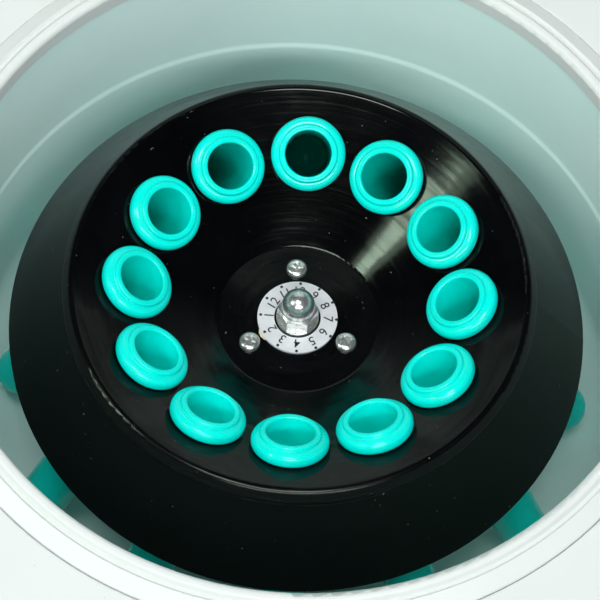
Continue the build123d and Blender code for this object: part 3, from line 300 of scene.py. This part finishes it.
def brushed_plate():
    """Aluminium brushed in one direction, with a few stains."""
    tree, shader, coords = finish(
        "brushed_plate", rgb(226, 228, 232), rgb(214, 217, 222), (0.42, 0.54), patch=0.006,
        depth=0.0, Metallic=0.35)
    brushing, line_depth = (500.0, 9000.0, 500.0), 0.000004
    lines = noise(tree, stretched(tree, coords, brushing), 1.0, rough=0.7)
    into(tree, shader, "Normal", bumped(tree, lines, line_depth))
    streaks = spread(tree, lines, 0.55, 0.8, to_high=0.35)
    streaked = mixed(tree, streaks, feeding(shader, "Base Color"), rgb(168, 170, 176))
    into(tree, shader, "Base Color", streaked)


for make in (bright_steel, rotor_gloss, rotor_satin, bowl_grey, brushed_plate):
    make()

for part in nodes.values():
    for place in part.material_slots:
        place.material = finishes[place.material.name.split(".")[0]]


# Mesh helpers

def placed(thing):
    """Links an object into the scene."""
    bpy.context.scene.collection.objects.link(thing)
    return thing


def baked(thing):
    """The plain mesh that an object's curve or modifiers give. The object is removed."""
    placed(thing)
    bpy.context.view_layer.update()
    evaluated = thing.evaluated_get(bpy.context.evaluated_depsgraph_get())
    mesh = bpy.data.meshes.new_from_object(evaluated)
    thing.modifiers.clear()
    bpy.data.objects.remove(thing)
    return mesh


def made_mesh(name, vertices, faces):
    mesh = bpy.data.meshes.new(name)
    mesh.from_pydata(vertices, [], faces)
    return mesh


def shown(name, mesh, material, body, smooth=False):
    """A piece with one finish, on a body. Smooth shading stops at edges over 32 degrees."""
    mesh.materials.clear()
    mesh.materials.append(finishes[material])
    mesh.update()
    if smooth:
        mesh.polygons.foreach_set("use_smooth", [True]*len(mesh.polygons))
        mesh.set_sharp_from_angle(angle=radians(32))
    piece = placed(bpy.data.objects.new(name, mesh))
    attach(piece, body)
    return piece


def figure(text, height, thickness, weight=0.0):
    """A figure as a mesh, centred on the origin, standing up along Y."""
    curve = bpy.data.curves.new("figure", "FONT")
    curve.body = text
    curve.extrude = thickness/2
    curve.offset = weight
    curve.resolution_u = 6
    mesh = baked(bpy.data.objects.new("figure", curve))
    low = [min(v.co[i] for v in mesh.vertices) for i in (0, 1)]
    high = [max(v.co[i] for v in mesh.vertices) for i in (0, 1)]
    scale = height/(high[1] - low[1])
    middle = Vector(((low[0] + high[0])/2, (low[1] + high[1])/2, 0))
    for v in mesh.vertices:
        co = v.co - middle
        v.co = (co.x*scale, co.y*scale, co.z)
    return mesh


def facing_out(mesh):
    """Turns every face of a closed mesh outwards."""
    shape = bmesh.new()
    shape.from_mesh(mesh)
    bmesh.ops.recalc_face_normals(shape, faces=shape.faces)
    shape.to_mesh(mesh)
    shape.free()


def joined(name, meshes):
    """One mesh out of several."""
    vertices, faces = [], []
    for mesh in meshes:
        start = len(vertices)
        vertices += [v.co.copy() for v in mesh.vertices]
        faces += [[start + i for i in p.vertices] for p in mesh.polygons]
    return made_mesh(name, vertices, faces)


def disc(radius, thickness, sides=28):
    """A flat dot, as a mesh centred on the origin."""
    ring = [(radius*cos(2*pi*k/sides), radius*sin(2*pi*k/sides)) for k in range(sides)]
    vertices = [(x, y, thickness/2) for x, y in ring] + [(x, y, -thickness/2) for x, y in ring]
    faces = [list(range(sides)), list(range(2*sides - 1, sides - 1, -1))]
    faces += [[k, sides + k, sides + (k + 1) % sides, (k + 1) % sides] for k in range(sides)]
    return made_mesh("dot", vertices, faces)


def on_circle(radius, turn, z=0.0):
    return Vector((radius*cos(turn), radius*sin(turn), z))


# Number plate: figures 1 to 12 with their tops outwards, and a dot for each sleeve

ink = 0.03*MM
plate_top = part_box("number_plate")[1].z
dish_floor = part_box("number_plate")[0].z
marks_off_centre = 0.42*MM
sleeves = 12
first_sleeve_turn = 180.0
figure_height, figure_weight, figure_circle = 3.45*MM, 0.004, 10.95*MM
dot_radius, dot_circle = 0.55*MM, 14.0*MM

plate_marks = []
for k in range(sleeves):
    turn = radians(first_sleeve_turn + 360.0/sleeves*k)
    upright_figure = Matrix.Rotation(turn - pi/2, 4, "Z")
    number = figure(str(k + 1), figure_height, ink, figure_weight)
    number.transform(Matrix.Translation(on_circle(figure_circle, turn)) @ upright_figure)
    dot = disc(dot_radius, ink)
    dot.transform(Matrix.Translation(on_circle(dot_circle, turn)))
    plate_marks += [number, dot]
marks = joined("plate_marks", plate_marks)
marks.transform(Matrix.Translation((marks_off_centre, 0, plate_top + ink/2)))
shown("plate_marks", marks, "plate_ink", "rotor")


# A thin edge of cream adhesive, squeezed out from under the plate beside one screw. It is widest
# at its middle and tapers to both ends. Each of its sections has four corners.

bead_turn, bead_half_angle, bead_steps = radians(212.0), radians(9.0), 8
bead_inner, bead_outer, bead_reach = 14.4*MM, 14.7*MM, 0.95*MM
bead_height, bead_outer_height = 0.30*MM, 0.22*MM

bead = []
for k in range(bead_steps + 1):
    along = (k/bead_steps - 0.5)*2.0
    turn = bead_turn + along*bead_half_angle
    taper, ripple = 1.0 - 0.55*abs(along)**1.5, 1.0 + 0.12*sin(9.0*along)
    outer = bead_outer + bead_reach*taper*ripple
    for radius, z in (
            (bead_inner, bead_height), (outer, bead_outer_height), (outer, 0.0), (bead_inner, 0.0)):
        bead.append(on_circle(radius, turn, z + dish_floor))
sides = [[4*k + i, 4*k + (i + 1) % 4, 4*k + 4 + (i + 1) % 4, 4*k + 4 + i]
         for k in range(bead_steps) for i in range(4)]
last = 4*bead_steps
ends = [[3, 2, 1, 0], [last, last + 1, last + 2, last + 3]]
mesh = made_mesh("plate_adhesive", bead, sides + ends)
facing_out(mesh)
shown("plate_adhesive", mesh, "adhesive_cream", "rotor", smooth=True)


# Screws with a cross recess, and scale marks, as node trees

def new_tree(name, **sizes):
    """A geometry tree with named number inputs. It returns the tree and its inputs' outputs by
    name."""
    tree = bpy.data.node_groups.new(name, "GeometryNodeTree")
    for way in ("INPUT", "OUTPUT"):
        tree.interface.new_socket("Geometry", in_out=way, socket_type="NodeSocketGeometry")
    for label, value in sizes.items():
        kind = "NodeSocketInt" if isinstance(value, int) else "NodeSocketFloat"
        label = label.replace("_", " ")
        socket = tree.interface.new_socket(label, in_out="INPUT", socket_type=kind)
        socket.default_value = value
    return tree, node(tree, "NodeGroupInput").outputs


def ended(tree, geometry, material):
    real = node(tree, "GeometryNodeRealizeInstances", {0: geometry}).outputs[0]
    painted = node(tree, "GeometryNodeSetMaterial", {0: real, "Material": finishes[material]})
    node(tree, "NodeGroupOutput", {0: painted.outputs[0]})


def grown(tree, places, **sizes):
    """Runs a tree on points and returns the result as a plain mesh."""
    carrier = bpy.data.objects.new("places", made_mesh("places", places, []))
    modifier = carrier.modifiers.new("tree", "NODES")
    modifier.node_group = tree
    identifiers = {item.name: item.identifier for item in tree.interface.items_tree
                   if item.in_out == "INPUT"}
    for label, value in sizes.items():
        modifier[identifiers[label.replace("_", " ")]] = value
    return baked(carrier)


def moved(tree, geometry, shift=(0.0, 0.0, 0.0), turn=(0.0, 0.0, 0.0)):
    inputs = {"Geometry": geometry, "Translation": shift, "Rotation": turn}
    return node(tree, "GeometryNodeTransform", inputs).outputs[0]


def polar(tree, radius, turn, z=0.0):
    """A place at a radius and an angle round the origin."""
    return vector(tree, times(tree, radius, maths(tree, "COSINE", turn)),
                  times(tree, radius, maths(tree, "SINE", turn)), z)


def solids_combined(tree, operation, inputs):
    return node(tree, "GeometryNodeMeshBoolean", inputs, operation=operation,
                solver="EXACT").outputs[0]


screw_head_radius, screw_head_height = 3.9*MM, 2.3*MM


def cross_recess_screw_tree():
    """Pan-head screws on each point: a head between a dome and a cylinder, a cross recess and a
    shank. Each screw's recess is turned at random."""
    tree, size = new_tree(
        "cross_recess_screws", Head_radius=screw_head_radius, Head_height=screw_head_height,
        Shank_radius=2.0*MM, Shank_length=19.0*MM, Recess_width=4.6*MM, Recess_slot=0.95*MM,
        Recess_depth=1.5*MM, Turned_over=0.0, Seed=7)
    squareness = 0.55
    sole_thickness, merging, shank_overlap = 0.05*MM, 0.002*MM, 0.5*MM
    funnel_top, funnel_foot, funnel_sink = 1.7*MM, 0.2*MM, 0.96

    # A flat grid, 1 by 1, is wrapped into the head: X goes round it, Y from its sole to its top.
    grid = node(tree, "GeometryNodeMeshGrid", {"Vertices X": 49, "Vertices Y": 33}).outputs[0]
    position = node(tree, "GeometryNodeInputPosition").outputs[0]
    across, upwards, _ = node(tree, "ShaderNodeSeparateXYZ", {0: position}).outputs
    turn = times(tree, across, 2*pi)
    rise = times(tree, upwards, pi)
    level = maths(tree, "ABSOLUTE", maths(tree, "COSINE", rise))
    level = maths(tree, "POWER", level, squareness)
    climb = maths(tree, "SINE", rise)
    lift = maths(tree, "POWER", maths(tree, "ABSOLUTE", climb), squareness)
    lift = times(tree, lift, maths(tree, "SIGN", climb))
    top = times(tree, maths(tree, "MAXIMUM", lift, 0.0), size["Head height"])
    sole = times(tree, maths(tree, "MINIMUM", lift, 0.0), sole_thickness)
    place = polar(tree, times(tree, level, size["Head radius"]), turn,
                  maths(tree, "ADD", top, sole))
    head = node(tree, "GeometryNodeSetPosition", {"Geometry": grid, "Position": place})
    head = node(tree, "GeometryNodeMergeByDistance", {
        "Geometry": head.outputs[0], "Distance": merging}).outputs[0]

    shank_depth = maths(tree, "ADD", size["Shank length"], shank_overlap)
    shank = node(tree, "GeometryNodeMeshCylinder", {
        "Vertices": 32, "Radius": size["Shank radius"], "Depth": shank_depth}).outputs[0]
    sink = maths(tree, "SUBTRACT", shank_overlap, times(tree, shank_depth, 0.5))
    shank = moved(tree, shank, vector(tree, 0.0, 0.0, sink))
    body = solids_combined(tree, "UNION", {1: [head, shank]})

    slot_size = vector(tree, size["Recess width"], size["Recess slot"],
                       times(tree, size["Recess depth"], 2.0))
    wing = node(tree, "GeometryNodeMeshCube", {"Size": slot_size}).outputs[0]
    crown = vector(tree, 0.0, 0.0, size["Head height"])
    wings = [moved(tree, wing, crown), moved(tree, wing, crown, (0.0, 0.0, pi/2))]
    funnel = node(tree, "GeometryNodeMeshCone", {
        "Vertices": 24, "Radius Top": funnel_top, "Radius Bottom": funnel_foot,
        "Depth": size["Recess depth"]}).outputs[0]
    funnel_z = maths(tree, "SUBTRACT", size["Head height"],
                     times(tree, size["Recess depth"], funnel_sink))
    funnel = moved(tree, funnel, vector(tree, 0.0, 0.0, funnel_z))
    body = solids_combined(tree, "DIFFERENCE", {0: body, 1: [*wings, funnel]})

    body = moved(tree, body, turn=vector(tree, size["Turned over"], 0.0, 0.0))
    spin = node(tree, "FunctionNodeRandomValue", {2: 0.0, 3: 2*pi, "Seed": size["Seed"]})
    points = node(tree, "GeometryNodeInstanceOnPoints", {
        "Points": size["Geometry"], "Instance": body,
        "Rotation": vector(tree, 0.0, 0.0, spin.outputs[1])}).outputs[0]
    ended(tree, points, "bright_steel")
    return tree


scale_start, scale_sweep = radians(225.0), radians(-270.0)


def scale_tick_tree():
    """Marks along an arc, each a thin bar that points to the middle."""
    tree, size = new_tree(
        "scale_ticks", Count=31, Inner_radius=17.0*MM, Length=1.8*MM, Width=0.4*MM,
        Thickness=ink, First_angle=scale_start, Sweep=scale_sweep)
    line = node(tree, "GeometryNodeMeshLine", {
        "Count": size["Count"], "Offset": (0.0, 0.0, 0.0)}).outputs[0]
    index = node(tree, "GeometryNodeInputIndex").outputs[0]
    share = maths(tree, "DIVIDE", index, maths(tree, "SUBTRACT", size["Count"], 1.0))
    turn = maths(tree, "ADD", size["First angle"], times(tree, share, size["Sweep"]))
    middle = maths(tree, "ADD", size["Inner radius"], times(tree, size["Length"], 0.5))
    place = polar(tree, middle, turn)
    line = node(tree, "GeometryNodeSetPosition", {"Geometry": line, "Position": place}).outputs[0]
    bar = node(tree, "GeometryNodeMeshCube", {
        "Size": vector(tree, size["Length"], size["Width"], size["Thickness"])}).outputs[0]
    marks = node(tree, "GeometryNodeInstanceOnPoints", {
        "Points": line, "Instance": bar, "Rotation": vector(tree, 0.0, 0.0, turn)}).outputs[0]
    ended(tree, marks, "panel_ink")
    return tree


# Three screws in the dish's floor, and four up into the cover from under the base

screws = cross_recess_screw_tree()
hub_screw_circle = 20.4*MM
hub_screw_azimuth = 94.0
places = [on_circle(hub_screw_circle, radians(hub_screw_azimuth + 120.0*k), dish_floor)
          for k in range(3)]
piece = shown("hub_screws_crossed", grown(screws, places), "bright_steel", "rotor",
              smooth=True)
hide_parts("hub_screws")

low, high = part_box("cover_screws")
seat = low.z + screw_head_height
places = [(x, y, seat)
          for x in (low.x + screw_head_radius, high.x - screw_head_radius)
          for y in (low.y + screw_head_radius, high.y - screw_head_radius)]
mesh = grown(screws, places, Turned_over=pi, Shank_length=high.z - seat)
piece = shown("cover_screws_crossed", mesh, "bright_steel", "housing",
              smooth=True)
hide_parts("cover_screws")


# Control panel: a scale with plain numbers round each knob, and a pointer on each. The panel's
# own plane has X across it, Y up its slope and Z out of its face.

panel_slope = radians(54.49)
panel_middle = Vector((0, -203.0, 169.85))*MM
panel = Matrix.Translation(panel_middle) @ Matrix.Rotation(panel_slope, 4, "X")
panel_face, knob_top = 3.0*MM, 18.6*MM
knob_across, knob_up = 70.0*MM, -8.0*MM
number_height, number_circle = 3.0*MM, 22.6*MM
major_marks = 7
knobs = (
    ("speed_knob", -knob_across, range(7)),
    ("time_knob", knob_across, range(0, 35, 5)),
)

ticks = scale_tick_tree()
origin = [(0.0, 0.0, 0.0)]
scale_meshes = []
for _, x, numbers in knobs:
    centre = panel @ Matrix.Translation((x, knob_up, panel_face + ink/2))
    fine = grown(ticks, origin)
    coarse = grown(ticks, origin, Count=major_marks, Length=2.9*MM, Width=0.6*MM)
    for mesh in (fine, coarse):
        mesh.transform(centre)
        scale_meshes.append(mesh)
    for k, number in enumerate(numbers):
        turn = scale_start + scale_sweep*k/(major_marks - 1)
        mesh = figure(str(number), number_height, ink)
        mesh.transform(centre @ Matrix.Translation(on_circle(number_circle, turn)))
        scale_meshes.append(mesh)
shown("panel_scales", joined("panel_scales", scale_meshes), "panel_ink", "housing")

for name, x, _ in knobs:
    bar = grown(ticks, origin, Count=2, Inner_radius=5.0*MM, Length=6.6*MM, Width=1.1*MM,
                Sweep=0.0)
    bar.transform(panel @ Matrix.Translation((x, knob_up, knob_top + ink/2)))
    shown(name + "_pointer", bar, "panel_ink", name)


# The floor. For the camera alone, it fades into the backdrop away from the object.

backdrop_colour = (0.86, 0.87, 0.87, 1.0)
fade_from, fade_to = 0.55, 2.2
half = 8.0
corners = [(-half, -half, 0.0), (half, -half, 0.0), (half, half, 0.0), (-half, half, 0.0)]
mesh = made_mesh("floor", corners, [(0, 1, 2, 3)])
tree, shader, coords = finish("floor", rgb(216, 217, 217), rgb(211, 213, 213), (0.55, 0.7),
                              patch=0.4, grain=0.004, depth=0.00002)
away = spread(tree, round_the_axis(tree, coords)[0], fade_from, fade_to)
away = times(tree, away, node(tree, "ShaderNodeLightPath").outputs["Is Camera Ray"])
pale = node(tree, "ShaderNodeEmission", {"Color": backdrop_colour}).outputs[0]
faded = node(tree, "ShaderNodeMixShader", {0: away, 1: shader.outputs[0], 2: pale}).outputs[0]
tree.links.new(faded, tree.nodes["Material Output"].inputs["Surface"])
mesh.materials.append(finishes["floor"])
floor = placed(bpy.data.objects.new("floor", mesh))


# The light. The camera and glass see the backdrop's colour, gloss sees a room that is pale near
# the level and dark above, and all else is lit by a faint glow.

world = bpy.data.worlds.new("studio")
bpy.context.scene.world = world
world.use_nodes = True
tree = world.node_tree
tree.nodes.clear()
room_low, room_high = (0.5, 0.51, 0.51, 1.0), (0.02, 0.021, 0.022, 1.0)
glow_colour, glow_strength = (0.95, 0.98, 1.0, 1.0), 0.50
direction = node(tree, "ShaderNodeTexCoord").outputs["Generated"]
height = node(tree, "ShaderNodeSeparateXYZ", {0: direction}).outputs[2]
path = node(tree, "ShaderNodeLightPath").outputs
mirrored = mixed(tree, spread(tree, height, 0.05, 0.5), room_low, room_high)
backdrop = mixed(tree, path["Is Glossy Ray"], backdrop_colour, mirrored)
seen = maths(tree, "MAXIMUM", path["Is Camera Ray"], path["Is Glossy Ray"])
seen = maths(tree, "MAXIMUM", seen, path["Is Transmission Ray"])
shine = node(tree, "ShaderNodeBackground", {"Color": backdrop, "Strength": 1.0}).outputs[0]
glow = node(tree, "ShaderNodeBackground", {
    "Color": glow_colour, "Strength": glow_strength}).outputs[0]
both = node(tree, "ShaderNodeMixShader", {0: seen, 1: glow, 2: shine}).outputs[0]
node(tree, "ShaderNodeOutputWorld", {"Surface": both})


def softbox(name, place, aim, size, watts, colour):
    lamp = bpy.data.lights.new(name, "AREA")
    lamp.shape = "RECTANGLE"
    lamp.size, lamp.size_y = size
    lamp.energy = watts
    lamp.color = colour
    box = placed(bpy.data.objects.new(name, lamp))
    box.location = place
    box.rotation_mode = "QUATERNION"
    box.rotation_quaternion = (Vector(aim) - Vector(place)).to_track_quat("-Z", "Y")


bowl_centre = (0.0, 0.0, 0.19)
white, greenish = (1.0, 1.0, 1.0), (0.86, 1.0, 0.86)
for name, place, size, watts, colour in (
        ("overhead", (-0.12, -0.42, 2.1), (0.8, 0.42), 15.0, white),
        ("left_window", (-1.13, -0.30, 1.39), (0.20, 0.34), 3.4, greenish),
        ("left_window_edge", (-1.15, -0.30, 1.42), (0.42, 0.40), 2.0, greenish),
        ("front_softbox", (0.2, -2.34, 2.66), (2.4, 0.4), 56.0, white)):
    softbox(name, place, bowl_centre, size, watts, colour)


# The camera stands where outlines picked from the photograph put it.

camera_place = Vector((-0.00735, -0.42274, 0.98984))
backwards = Vector((-0.00855, -0.46660, 0.88442)).normalized()
level = Vector((0.99983, -0.01833, 0.0))
roll = radians(4.79)
above = backwards.cross(level)
right = cos(roll)*level + sin(roll)*above
upright = cos(roll)*above - sin(roll)*level
view = bpy.data.cameras.new("camera")
view.lens = 149.42
view.sensor_width = 36.0
view.clip_start = 0.01
view.clip_end = 50.0
camera = placed(bpy.data.objects.new("camera", view))
aim = Matrix((right, upright, backwards)).transposed().to_4x4()
camera.matrix_world = Matrix.Translation(camera_place) @ aim
bpy.context.scene.camera = camera
bpy.context.scene.view_settings.view_transform = "Standard"
